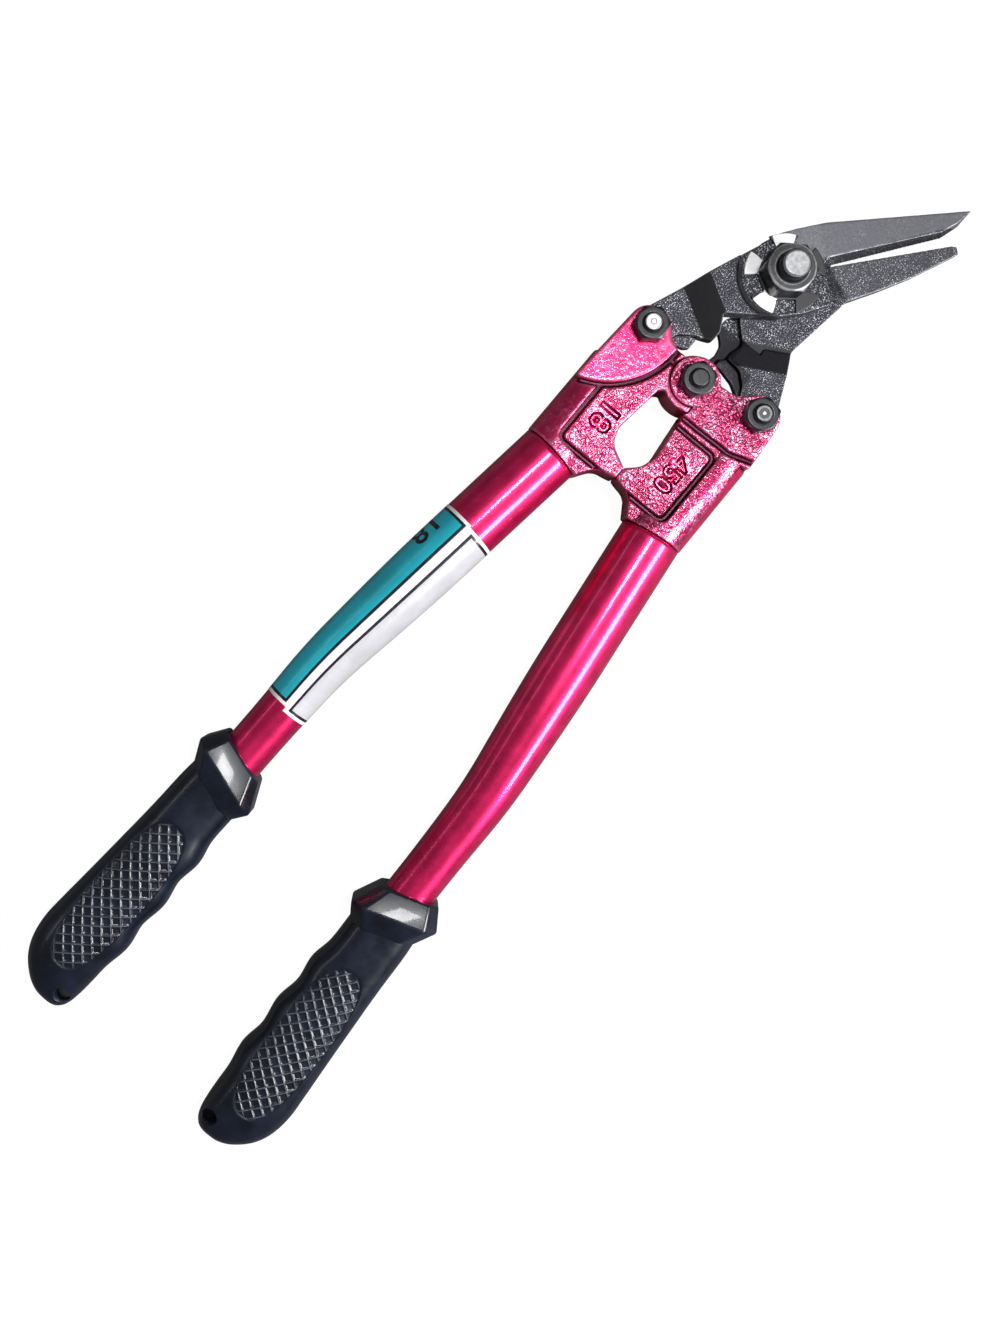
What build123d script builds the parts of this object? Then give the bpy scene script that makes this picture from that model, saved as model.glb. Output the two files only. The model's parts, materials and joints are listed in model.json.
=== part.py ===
from build123d import *
import math
import os

# Compound bolt cutters with angled shear blades, handles shut.
# Modelled about the blade pivot, +X to the blade tips and +Z up, then seated on the table.

# ---- linkage ----
link_short = 29.0            # handle pivot to jaw pivot
link_long = 59.0             # jaw pivot to blade pivot
handle_half_angle = 79.7     # from the tool's axis to the short link

# ---- handle castings ----
casting_thick = 17.0
casting_edge = 1.0           # rounding of the cast edges
slot_width = 6.2             # fork slots for the jaw lugs and the tongue
slot_play = 0.1              # each side of a lug or the tongue
ear_radius = 8.4
eye_radius = 10.3
tongue_radius = 11.6
eye_clearance = 0.4
lug_clearance = 3.0          # round the lugs: the lower one also drifts at its open pivot
collar_distance = 58.5       # handle pivot to the shoulder that the tube meets
boss_distance = 48.0         # handle pivot to the stop boss
boss_width = 5.4
wrap_radius = 13.0           # upper casting's wall round the back of the eye
wrap_reach = 5.4             # how far it goes past the tool's axis
upper_window = 10.7          # from the tool's axis to the window's edge
lower_window = 6.0
castings_gap = 0.2           # between the two sockets, over the tool's axis
barrel_radius = 13.3
barrel_end_radius = 9.5
barrel_length = 44.0
barrel_lean = 0.4            # how far the barrel's end comes in from its outer side
bar_edge = 33.0              # plate's edge inside the bare barrel
upper_bar_end = 29.6         # handle pivot to where the ear covers the barrel
lower_bar_end = 15.2
groove_width = 2.4
groove_depth = 1.2
panel_start = 52.8           # handle pivot to the groove round the panel
upper_panel_edge = 28.4      # from the tool's axis
lower_panel_edge = 25.6
lower_panel_end = 18.8
panel_corner = 3.0
ear_ring_radius = 36.0       # groove that bounds the upper ear
ear_ring_x, ear_ring_y = 4.3, 49.0
tang_length = 45.0

# ---- handle tubes ----
tube_radius = 13.0           # at the casting
tube_grip_radius = 10.0
tube_wall = 1.6
swage_distance = 56.0        # collar to where the taper starts
tube_fit = 0.05              # tang in tube, tube in grip
tube_splay = 7.35            # degrees from the tool's axis, before the bend
tube_bend = 5.9              # degrees
bend_distance = 126.0        # collar to the bend's corner
bend_radius = 260.0
tube_length = 288.0
tube_end_room = 0.5          # beyond the tube, inside the grip

# ---- grips ----
grip_mouth = 176.0           # collar to the middle of the grip's mouth
guard_slant = 17.0           # degrees
grip_roundness = 0.86        # corner radius as a share of the section's smaller half
hang_hole_radius = 3.4
hang_hole_distance = 296.0   # collar to the hanging hole
hang_hole_drop = 8.6         # towards the tool's axis from the tube's line

# ---- jaws and blades ----
lug_radius = 8.2
mid_thick = 8.0              # each jaw, from the shear plane
hub_thick = 5.8
hub_radius = 15.3
washer_seat_radius = 19.5
ramp_start = 19.8            # from the jaw pivot along the long link
ramp_end = 31.0
ledge_depth = 2.6            # lobes beside the lugs, below the lug's face
shelf_top = 3.2              # lower jaw's shelf under the upper arm, from the shear plane
shelf_thick = 3.0
blade_gap = 0.1              # between the two shear faces
blade_bevel = 2.6
tip_x, tip_y = 70.0, -42.6
tip_thick = 3.4
thinning_start = 18.0        # from the blade pivot
thinning_heading = -39.0     # degrees
edge_heading = -36.4         # degrees, the upper blade's cutting edge
edge_end = 67.4              # from the blade pivot
cut_reach = 40.0             # deeper than any piece is thick
lower_tip_x, lower_tip_y = 54.8, -48.0

# ---- fasteners ----
bolt_radius = 4.0            # M8
bolt_fit = 0.05
open_pivot_fit = 1.5         # lower jaw's lug hole, where the closed linkage is opened
nut_flats = 13.0
chamfer_share = 0.95         # flat face of a nut or head, as a share of its width
chamfer_angle = 30.0         # degrees
shank_chamfer = 0.2          # share of the shank's radius
upper_nut_turn = 8.0         # degrees
lower_nut_turn = 20.0
handle_nut_turn = 25.0
blade_nut_turn = 5.0
nut_height = 6.8
head_height = 5.3
bolt_stand = 1.9             # bolt end beyond the nut
pivot_bolt_radius = 6.0      # M12
pivot_nut_flats = 19.0
pivot_nut_height = 10.6
pivot_head_height = 7.5
pivot_bolt_stand = 6.0
tab_washer_radius = 16.5
tab_washer_thick = 1.2
plain_washer_radius = 12.0
plain_washer_thick = 1.2
tab_count = 5
tab_slot = 8.0
tab_root = 10.4              # radius where the slots between the tabs start
tab_turn = 41.0              # degrees, to the first tab's middle

# ---- labels ----
label_thick = 0.12
label_lift = 0.02            # glue under the film
label_start = 45.0           # from the collar
label_end = 147.0
label_gap = 0.6              # between the two labels along the tube's top
label_wrap = 100.0           # degrees round the tube, from its top


def polar(length, degrees):
    return Vector(length * math.cos(math.radians(degrees)), length * math.sin(math.radians(degrees)))


def flipped(solid):
    """The same piece on the tool's other side."""
    return solid.mirror(Plane.XZ)


jaw_half_angle = math.degrees(math.asin(link_short * math.sin(math.radians(handle_half_angle)) / link_long))
jaw_pivot = polar(link_long, 180 - jaw_half_angle)
handle_pivot = jaw_pivot - polar(link_short, handle_half_angle)
pivot_x, ear_x, ear_y = handle_pivot.X, jaw_pivot.X, jaw_pivot.Y
half_thick = casting_thick / 2
lug_thick = slot_width - 2 * slot_play
collar = Vector(pivot_x - collar_distance, 2 * barrel_radius + castings_gap)
collar_plane = Plane(
    origin=(collar.X, collar.Y, 0),
    x_dir=(math.sin(math.radians(tube_splay)), math.cos(math.radians(tube_splay)), 0),
    z_dir=(-math.cos(math.radians(tube_splay)), math.sin(math.radians(tube_splay)), 0),
)


def prism(outline, low, high):
    return extrude(Pos(0, 0, low) * outline, high - low)


def disc(centre, radius, low, high):
    return prism(Pos(centre.X, centre.Y) * Circle(radius), low, high)


def rounded(points, radii):
    return make_face(FilletPolyline(*points, radius=radii, close=True))


# ---- the tube's centre line ----
def along_tube(distance, slant=0):
    """Plane across the tube at a distance from the collar, with its own X outwards."""
    start, end = bend_limits()
    done = min(max(distance - start, 0), end - start)
    first = math.radians(180 - tube_splay)
    heading = first + done / bend_radius
    point = collar + Vector(math.cos(first), math.sin(first)) * min(distance, start)
    point += Vector(
        bend_radius * (math.sin(heading) - math.sin(first)),
        bend_radius * (math.cos(first) - math.cos(heading)),
    )
    point += Vector(math.cos(heading), math.sin(heading)) * max(distance - end, 0)
    across = heading - math.radians(slant)
    return Plane(
        origin=(point.X, point.Y, 0),
        x_dir=(math.sin(across), -math.cos(across), 0),
        z_dir=(math.cos(across), math.sin(across), 0),
    )


def bend_limits():
    """Where the tube's bend starts and ends, from the collar."""
    turn = math.radians(tube_bend)
    start = bend_distance - bend_radius * math.tan(turn / 2)
    return start, start + bend_radius * turn


def taper_at(distance):
    """Tube radius: full to the swage, then a smooth taper that ends with the bend."""
    share = min(max((distance - swage_distance) / (bend_limits()[1] - swage_distance), 0), 1)
    return tube_radius + (tube_grip_radius - tube_radius) * share * share * (3 - 2 * share)


def tube_core(offset, start, end):
    """Solid round the tube's line, offset from its outer surface."""
    bend_start, bend_end = bend_limits()
    taper_steps = [swage_distance + (bend_start - swage_distance) * i / 6 for i in range(6)]
    bend_steps = [bend_start + (bend_end - bend_start) * i / 5 for i in range(6)]
    inner = [s for s in taper_steps + bend_steps if start + 1 < s < end - 1]
    rings = [along_tube(s) * Circle(taper_at(s) + offset) for s in [start] + inner + [end]]
    return loft(rings, ruled=True)


def handle_tube():
    bore = tube_core(-tube_wall, -1, tube_length + 1)
    return tube_core(0, 0, tube_length) - bore


# ---- handle castings ----
def casting_body(bar_end, window):
    outer_y = collar.Y + barrel_radius
    foot = collar_plane.from_local_coords(Vector(-barrel_radius, 0, 0))
    top = collar_plane.from_local_coords(Vector(bar_edge - collar.Y, 0, 0))
    boss_x = pivot_x - boss_distance
    points = [
        (foot.X, foot.Y),
        (top.X, top.Y),
        (pivot_x - bar_end, bar_edge),
        (pivot_x - bar_end + 1.0, outer_y - 0.6),
        (ear_x + ear_radius, ear_y + ear_radius),
        (ear_x + ear_radius, ear_y - 0.5 * ear_radius),
        (ear_x + 1.9, ear_y - 10.6),
        (ear_x + 0.4, ear_y - 14.8),
        (pivot_x + 5.2, 9.0),
        (pivot_x + 2.0, 1.5),
        (pivot_x - 7.0, 1.5),
        (pivot_x - 12.4, window - 1.4),
        (pivot_x - 34.0, window + 1.2),
        (pivot_x - 40.6, window - 1.0),
        (boss_x + boss_width / 2, 0),
        (boss_x - boss_width / 2, 0),
        (boss_x - 4.6, 8.6),
    ]
    radii = [0, 0, 0, 2, 0.97 * ear_radius, 5, 3, 4, 2, 1, 1, 1.5, 6, 8, 1.2, 1.2, 8]
    return rounded(points, radii)


def barrel():
    """Round socket that carries the tube's line into the flat head."""
    end_y = collar.Y + barrel_radius - barrel_end_radius - barrel_lean
    end = Plane(origin=(collar.X + barrel_length, end_y, 0), x_dir=(0, 1, 0), z_dir=(1, 0, 0))
    start = Plane(origin=collar_plane.origin, x_dir=collar_plane.x_dir, z_dir=-collar_plane.z_dir)
    return loft([start * Circle(barrel_radius), end * Circle(barrel_end_radius)])


def both_faces(outline, low, high):
    """The same prism above the middle plane and under it."""
    return prism(outline, low, high) + prism(outline, -high, -low)


def panel_box(edge, length):
    """Panel's outline in plan. It runs out over the window's side, where there is no groove."""
    left, low = pivot_x - panel_start, -2 * edge
    corners = [(left, low), (left, edge), (left + length, edge), (left + length, low)]
    return rounded(corners, [0, panel_corner, panel_corner, 0])


def panel_cuts(level, panel, ear):
    """Levels the panel and the ear with the flat head, and cuts a groove round each."""
    reach = groove_width / 2
    cuts = both_faces(offset(level, reach) + offset(ear, reach), half_thick, half_thick + barrel_radius)
    for region in (panel, ear):
        groove = offset(region, reach) - offset(region, -reach)
        cuts += both_faces(groove, half_thick - groove_depth, half_thick + barrel_radius)
    return cuts


def tang():
    root, tip = taper_at(0), taper_at(tang_length)
    loss = tube_wall + tube_fit
    return loft([
        along_tube(-2) * Circle(root - loss),
        along_tube(tang_length) * Circle(tip - loss),
    ])


def casting_blank(eye, bar_end, window):
    """Flat head, socket and tang in one casting. The eye at the handle pivot is drawn in plan."""
    plate = prism(casting_body(bar_end, window), -half_thick, half_thick)
    rims = plate.edges().group_by(Axis.Z)
    plate = fillet(rims[0] + rims[-1], casting_edge)
    return plate + prism(eye, -half_thick, half_thick) + barrel() + tang()


def lug_slot():
    """Slot in the ear: round its pivot, and open towards the blades."""
    lug = lug_radius + lug_clearance
    reach = 2 * ear_radius + lug_clearance
    mouth = Pos(ear_x + reach / 2, ear_y) * Rectangle(reach, 2 * lug + 6)
    return prism(mouth, -slot_width / 2, slot_width / 2) + disc(
        jaw_pivot, lug, -slot_width / 2, slot_width / 2
    )


def pivot_bore(centre, radius):
    return disc(centre, radius + bolt_fit, -casting_thick, casting_thick)


def handle_casting_upper():
    """Upper casting: a middle tongue at the handle pivot, and a wall round the back of the eye."""
    half_tongue = slot_width / 2 - slot_play
    back = Pos(pivot_x - wrap_radius, wrap_radius - wrap_reach) * Rectangle(
        2 * wrap_radius - eye_radius, 2 * wrap_radius
    )
    solid = casting_blank(Pos(pivot_x, 0) * Circle(wrap_radius) & back, upper_bar_end, upper_window)
    for low, high in ((half_tongue, casting_thick), (-casting_thick, -half_tongue)):
        solid -= disc(handle_pivot, eye_radius + eye_clearance, low, high)
    solid -= lug_slot()
    solid += disc(handle_pivot, tongue_radius, -half_tongue, half_tongue)
    solid -= pivot_bore(jaw_pivot, bolt_radius) + pivot_bore(handle_pivot, bolt_radius)
    ear = Pos(pivot_x + ear_ring_x, ear_ring_y) * Circle(ear_ring_radius)
    level = panel_box(upper_panel_edge, panel_start)
    return solid - panel_cuts(level, level - ear, ear)


def handle_casting_lower():
    """Lower casting: a fork at the handle pivot. Made on the upper side, then flipped."""
    solid = casting_blank(Pos(pivot_x, 0) * Circle(eye_radius), lower_bar_end, lower_window)
    tongue_room = tongue_radius + eye_clearance
    solid -= disc(handle_pivot, tongue_room, -slot_width / 2, slot_width / 2)
    behind = Pos(pivot_x - 2 * wrap_radius, wrap_reach + eye_clearance - 2 * wrap_radius) * Rectangle(
        4 * wrap_radius - eye_radius, 4 * wrap_radius
    )
    wall_room = Pos(pivot_x, 0) * (Circle(wrap_radius + eye_clearance) - Circle(eye_radius)) & behind
    solid -= prism(wall_room, -casting_thick, casting_thick)
    solid -= lug_slot()
    solid -= pivot_bore(jaw_pivot, bolt_radius) + pivot_bore(handle_pivot, bolt_radius)
    ear_left, ear_right = pivot_x - lower_bar_end - 0.4, pivot_x + 2 * ear_radius
    ear = rounded([
        (ear_left, -20), (ear_left + 1.4, 29), (ear_left + 6, 42), (ear_right, 42), (ear_right, -20),
    ], [0, 6, 0, 0, 0])
    level = panel_box(lower_panel_edge, panel_start)
    panel = panel_box(lower_panel_edge, panel_start - lower_panel_end)
    return flipped(solid - panel_cuts(level, panel, ear))


# ---- grips ----
grip_sections = [            # distance from the collar, side towards the axis, outer side, half height
    (183.0, -13.6, 13.4, 12.6),
    (194.0, -13.6, 14.2, 12.4),
    (212.0, -13.6, 14.6, 12.2),
    (222.0, -15.6, 15.0, 12.4),
    (233.0, -14.2, 15.6, 12.6),
    (244.0, -16.2, 16.2, 12.8),
    (257.0, -14.6, 16.9, 13.1),
    (267.0, -16.4, 17.6, 13.4),
    (278.0, -14.6, 18.2, 13.4),
    (287.0, -14.2, 16.8, 12.6),
    (294.0, -13.8, 13.4, 11.4),
    (299.5, -12.8, 8.2, 9.6),
    (302.6, -10.6, 3.2, 7.0),
    (304.0, -8.0, -2.0, 3.6),
]


def grip_section(distance, inner, outer, half_height):
    width = outer - inner
    corner = grip_roundness * min(half_height, width / 2)
    flat = Pos((inner + outer) / 2, 0) * RectangleRounded(width, 2 * half_height, corner)
    return along_tube(distance) * flat


def guard_ring(distance, inner, outer, half_height, cut):
    """Slanted eight-sided section: a rectangle with its corners cut off."""
    corners = [
        (outer, half_height - cut), (outer - cut, half_height),
        (inner + cut, half_height), (inner, half_height - cut),
        (inner, cut - half_height), (inner + cut, -half_height),
        (outer - cut, -half_height), (outer, cut - half_height),
    ]
    return along_tube(distance, guard_slant) * make_face(Polyline(*corners, close=True))


def grip_guard():
    return loft([
        guard_ring(grip_mouth, -12.6, 12.4, 11.6, 4.0),
        guard_ring(grip_mouth + 10.6, -18.6, 18.4, 14.5, 5.5),
        guard_ring(grip_mouth + 19.5, -13.4, 13.4, 12.4, 5.5),
    ], ruled=True)


def handle_grip():
    body = loft([grip_section(*section) for section in grip_sections], ruled=True)
    hole_plane = along_tube(hang_hole_distance)
    hole = hole_plane.from_local_coords(Vector(-hang_hole_drop, 0, 0))
    solid = body + grip_guard()
    solid -= tube_core(tube_fit, grip_mouth - cut_reach, tube_length + tube_end_room)
    return solid - disc(hole, hang_hole_radius, -cut_reach, cut_reach)


# ---- jaws ----
def arm_profile(rising):
    """Side profile of an arm along the long link, as a prism across the whole jaw."""
    half_lug = lug_thick / 2
    inner = blade_gap / 2
    far = link_long + 60
    points = [
        (-20, -half_lug), (ramp_start, -half_lug), (ramp_end, inner), (far, inner),
        (far, mid_thick), (ramp_end, mid_thick), (ramp_start, half_lug), (-20, half_lug),
    ]
    if not rising:
        points = [(u, -z) for u, z in points]
    side = Plane(
        origin=(ear_x, ear_y, 0),
        x_dir=(math.cos(math.radians(-jaw_half_angle)), math.sin(math.radians(-jaw_half_angle)), 0),
        z_dir=(math.sin(math.radians(-jaw_half_angle)), -math.cos(math.radians(-jaw_half_angle)), 0),
    )
    return extrude(side * make_face(Polyline(*points, close=True)), 90, both=True)


def upper_arm_outline():
    """Upper jaw's arm and hub. The inner contour runs from the hub back to the lug."""
    return rounded([
        (ear_x + 3.2, ear_y + lug_radius - 0.6), (8.6, 13.0), (12.0, 0.0), (4.2, -21.0), (2.4, -22.2),
        (-7.0, -16.0), (-15.6, -8.2), (-23.2, 2.2), (-28.0, 8.8), (-34.4, 5.0), (-38.6, 5.0),
        (-41.4, 12.2), (-45.0, 17.6), (ear_x - 3.0, ear_y - 7.6),
    ], [0, 0, 0, 0, 0, 12, 12, 8, 1, 2, 1.8, 4, 3, 0])


def lower_arm_outline():
    """Lower jaw's arm, drawn on the upper side."""
    return rounded([
        (ear_x + 3.2, ear_y + lug_radius - 0.6), (-20.4, 23.0), (9.8, 27.2), (14.0, 14.0), (10.0, -8.0),
        (-8.0, -13.0), (-20.0, -5.0), (-27.0, 1.6), (-30.6, 5.8), (-36.6, 4.2), (-39.8, 4.2),
        (-40.8, 11.6), (-45.0, 16.2), (ear_x - 3.0, ear_y - 7.6),
    ], [0, 4, 0, 0, 0, 0, 3, 2, 3, 2, 1.2, 4, 3, 0])


def upper_lobe():
    """Thin part of the upper lug beside the casting."""
    return rounded([
        (-49.6, 19.0), (-47.8, 12.2), (-46.0, 10.3), (-41.2, 10.3), (-41.2, 14.0), (-45.0, 19.4),
    ], [0, 2, 1.2, 1, 0, 0])


def lower_lobe():
    """Thin part of the lower lug beside the handle pivot, drawn on the upper side."""
    return rounded([
        (-49.6, 18.0), (-46.2, 12.0), (-44.8, 6.0), (-44.5, 2.2), (-41.6, 2.2), (-39.0, 5.0),
        (-39.0, 13.0), (-45.0, 18.0),
    ], [0, 3, 3, 0.6, 1, 0, 0, 0])


def lower_shelf():
    """Shelf on the far side of the lower arm, which runs under the upper one."""
    return rounded([
        (-45.2, 4.0), (-45.2, -1.4), (-40.0, -0.2), (-36.0, -1.0), (-33.6, -3.4), (-31.8, -6.2),
        (-26.0, -6.2), (-20.0, -3.0), (-24.0, 5.0), (-36.0, 8.0),
    ], [0, 1.2, 3, 3, 3, 1.5, 0, 0, 0, 0])


def blade_blank(outline, top, low, high):
    """Blade with its sloped face: the outline at the shear face, the inset one at the back."""
    return loft([Pos(0, 0, low) * outline, Pos(0, 0, high) * top], ruled=True)


def upper_blade():
    """Cutting edge on the line from the blade pivot to just behind the tip."""
    heel = polar(edge_end, edge_heading)
    inset = polar(blade_bevel, edge_heading + 90)
    base = [
        (4.0, 15.2), (12.0, 12.0), (17.8, 7.9), (27.4, 0.3), (43.8, -16.2), (tip_x, tip_y),
        (62.0, -42.4), (heel.X, heel.Y), (17.0, -12.54), (16.6, -13.4), (10.4, -26.7), (-2.0, -13.0),
    ]
    back = [
        (4.0, 15.2), (12.0, 12.0), (17.8, 7.9), (27.4, 0.3), (43.8, -16.2), (tip_x - 0.6, tip_y + 0.7),
        (62.3, -40.4), (heel.X + inset.X, heel.Y + inset.Y),
        (17.4, -9.6), (12.5, -9.5), (5.2, -22.0), (-2.0, -13.0),
    ]
    return blade_blank(
        make_face(Polyline(*base, close=True)), make_face(Polyline(*back, close=True)),
        blade_gap / 2, hub_thick,
    )


def tip_relief(side):
    """Wedge above the back of a blade, which thins it towards the tip."""
    length = math.hypot(tip_x, tip_y) + washer_seat_radius / 4
    points = [
        (thinning_start, hub_thick), (length, tip_thick),
        (length, cut_reach), (thinning_start, cut_reach),
    ]
    heading = math.radians(thinning_heading)
    plane = Plane(
        origin=(0, 0, 0),
        x_dir=(math.cos(heading), math.sin(heading), 0),
        z_dir=(math.sin(heading), -math.cos(heading), 0),
    )
    wedge = [(u, side * z) for u, z in points]
    return extrude(plane * make_face(Polyline(*wedge, close=True)), 2 * cut_reach, both=True)


def lower_blade():
    base = [
        (8.0, -9.5), (16.0, -12.0), (lower_tip_x + 0.4, lower_tip_y + 2.4),
        (lower_tip_x + 1.5, lower_tip_y + 0.4), (lower_tip_x - 0.6, lower_tip_y - 2.0),
        (35.0, -41.6), (22.6, -34.8), (10.2, -27.2), (-2.0, -24.6),
    ]
    back = [
        (8.0, -9.5), (14.6, -14.4), (lower_tip_x - 1.5, lower_tip_y + 1.2),
        (lower_tip_x + 0.4, lower_tip_y - 0.2), (lower_tip_x - 0.9, lower_tip_y - 1.8),
        (35.0, -41.4), (22.6, -34.7), (10.2, -27.2), (-2.0, -24.6),
    ]
    return blade_blank(
        make_face(Polyline(*back, close=True)), make_face(Polyline(*base, close=True)),
        -hub_thick, -blade_gap / 2,
    )


def shear_area():
    """Where the two jaws lie one on the other."""
    return Pos(40, 0) * Rectangle(140, 100) - rounded(
        [(-60, -14), (-27, -14), (-18, -30), (-60, -40)], [0, 0, 0, 0]
    )


def jaw_holes(lug_hole):
    centre = Vector(0, 0)
    return disc(centre, pivot_bolt_radius + bolt_fit, -cut_reach, cut_reach) + disc(
        jaw_pivot, lug_hole, -cut_reach, cut_reach
    )


def jaw_upper():
    centre = Vector(0, 0)
    half_lug = lug_thick / 2
    plan = upper_arm_outline() + Pos(ear_x, ear_y) * Circle(lug_radius) + Circle(hub_radius)
    arm = prism(plan, -mid_thick, mid_thick) & arm_profile(True)
    arm -= disc(centre, washer_seat_radius, hub_thick, cut_reach)
    arm += prism(upper_lobe(), -half_lug, half_lug - ledge_depth)
    beside = Pos(30, 0) * Rectangle(52, 80) + Pos(12, -26) * Rectangle(50, 30)
    arm -= prism(beside, hub_thick, cut_reach)
    solid = arm + (upper_blade() - tip_relief(1))
    solid -= prism(shear_area(), -cut_reach, blade_gap / 2)
    return solid - jaw_holes(bolt_radius + bolt_fit)


def jaw_lower():
    """Made under the shear plane. The arm is drawn on the upper side, then flipped."""
    centre = Vector(0, 0)
    half_lug = lug_thick / 2
    plan = lower_arm_outline() + Pos(ear_x, ear_y) * Circle(lug_radius)
    arm = prism(plan, -mid_thick, mid_thick) & arm_profile(False)
    arm += prism(lower_lobe(), -half_lug, half_lug - ledge_depth)
    arm += prism(lower_shelf(), -shelf_top - shelf_thick, -shelf_top)
    arm = flipped(arm)
    hub = disc(centre, hub_radius, -mid_thick, -blade_gap / 2)
    solid = arm + hub + (lower_blade() - tip_relief(-1))
    solid -= disc(centre, washer_seat_radius, -cut_reach, -hub_thick)
    solid -= prism(shear_area(), -blade_gap / 2, cut_reach)
    return solid - flipped(jaw_holes(bolt_radius + open_pivot_fit))


# ---- fasteners ----
def hexagon(centre, flats, low, high, turn):
    """Hexagon with a chamfer round its upper face."""
    body = prism(Pos(centre.X, centre.Y) * Rot(0, 0, turn) * RegularPolygon(flats / 2, 6, False), low, high)
    face = chamfer_share * flats / 2
    spread = (high - low) / math.tan(math.radians(chamfer_angle))
    return body & (Pos(centre.X, centre.Y, (low + high) / 2) * Cone(face + spread, face, high - low))


def nut(centre, flats, bore, low, height, turn):
    blank = hexagon(centre, flats, low, low + height, turn)
    return blank - disc(centre, bore, low - 1, low + height + 1)


def bolt(centre, radius, flats, head_low, head_high, end, turn):
    """Hexagon head below, plain shank, chamfered end above."""
    head = hexagon(centre, flats, -head_high, -head_low, turn).mirror(Plane.XY)
    shank = disc(centre, radius, head_high - 1, end)
    shank = chamfer(shank.edges().group_by(Axis.Z)[-1], shank_chamfer * radius)
    return head + shank


def pivot_pair(centre, turn):
    """M8 bolt and nut through a casting's ear or eye."""
    nut_top = half_thick + nut_height
    screw = bolt(
        centre, bolt_radius, nut_flats, -half_thick - head_height, -half_thick, nut_top + bolt_stand, turn
    )
    return screw, nut(centre, nut_flats, bolt_radius, half_thick, nut_height, turn)


def tab_washer():
    """Lock washer with five tabs."""
    low, high = hub_thick, hub_thick + tab_washer_thick
    centre = Vector(0, 0)
    solid = disc(centre, tab_washer_radius, low, high) - disc(centre, pivot_bolt_radius, low - 1, high + 1)
    step = 360 / tab_count
    for index in range(tab_count):
        turn = tab_turn + step * (index + 0.5)
        slot = polar(tab_root + tab_washer_radius / 2, turn)
        cut = Pos(slot.X, slot.Y) * Rot(0, 0, turn) * Rectangle(tab_washer_radius, tab_slot)
        solid -= prism(cut, low - 1, high + 1)
    return solid


def plain_washer():
    low = -hub_thick - plain_washer_thick
    centre = Vector(0, 0)
    return disc(centre, plain_washer_radius, low, -hub_thick) - disc(
        centre, pivot_bolt_radius, low - 1, 0
    )


# ---- labels ----
def label(outer_side):
    """Thin skin on one half of the upper tube's top, between two lengthwise cuts."""
    skin = tube_core(label_lift + label_thick, label_start, label_end)
    skin -= tube_core(label_lift, label_start - 1, label_end + 1)
    reach = 4 * tube_radius
    middle = along_tube((label_start + label_end) / 2)
    side = 1 if outer_side else -1
    half = middle * Pos(side * (reach / 2 + label_gap / 2), 0, 0) * Box(reach, 2 * reach, 4 * label_end)
    wrap = math.radians(label_wrap)
    below = middle * Pos(0, reach / 2 + tube_radius * math.sin(wrap - math.pi / 2), 0) * Box(
        4 * reach, reach, 4 * label_end
    )
    return (skin & half) - below


table_height = -(hub_thick + plain_washer_thick + pivot_head_height)


def main():
    os.makedirs("parts", exist_ok=True)
    jaw_pivot_lower = Vector(ear_x, -ear_y)
    bolt_a, nut_a = pivot_pair(jaw_pivot, upper_nut_turn)
    bolt_b, nut_b = pivot_pair(jaw_pivot_lower, lower_nut_turn)
    bolt_h, nut_h = pivot_pair(handle_pivot, handle_nut_turn)
    washer_top = hub_thick + tab_washer_thick
    pieces = {
        "handle_casting_upper": handle_casting_upper(),
        "handle_casting_lower": handle_casting_lower(),
        "handle_tube_upper": handle_tube(),
        "handle_tube_lower": flipped(handle_tube()),
        "handle_grip_upper": handle_grip(),
        "handle_grip_lower": flipped(handle_grip()),
        "jaw_upper": jaw_upper(),
        "jaw_lower": jaw_lower(),
        "handle_pivot_bolt": bolt_h,
        "handle_pivot_nut": nut_h,
        "jaw_pivot_bolt_upper": bolt_a,
        "jaw_pivot_nut_upper": nut_a,
        "jaw_pivot_bolt_lower": bolt_b,
        "jaw_pivot_nut_lower": nut_b,
        "blade_pivot_bolt": bolt(
            Vector(0, 0), pivot_bolt_radius, pivot_nut_flats,
            table_height, table_height + pivot_head_height,
            washer_top + pivot_nut_height + pivot_bolt_stand, blade_nut_turn,
        ),
        "blade_pivot_nut": nut(
            Vector(0, 0), pivot_nut_flats, pivot_bolt_radius, washer_top, pivot_nut_height, blade_nut_turn
        ),
        "blade_pivot_tab_washer": tab_washer(),
        "blade_pivot_washer": plain_washer(),
        "size_label": label(True),
        "plain_label": label(False),
    }
    grip = pieces["handle_grip_upper"].bounding_box()
    middle = (grip.min.X + tip_x) / 2
    for name, solid in pieces.items():
        export_step(Pos(-middle, 0, -table_height) * solid, f"parts/{name}.step")
        box = solid.bounding_box()
        print(f"{name:26s} {len(solid.solids())} {solid.volume:10.1f}  {box.min} {box.max}")


main()
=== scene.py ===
import json
import math

import bmesh
import bpy
from mathutils import Matrix, Vector, noise


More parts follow.
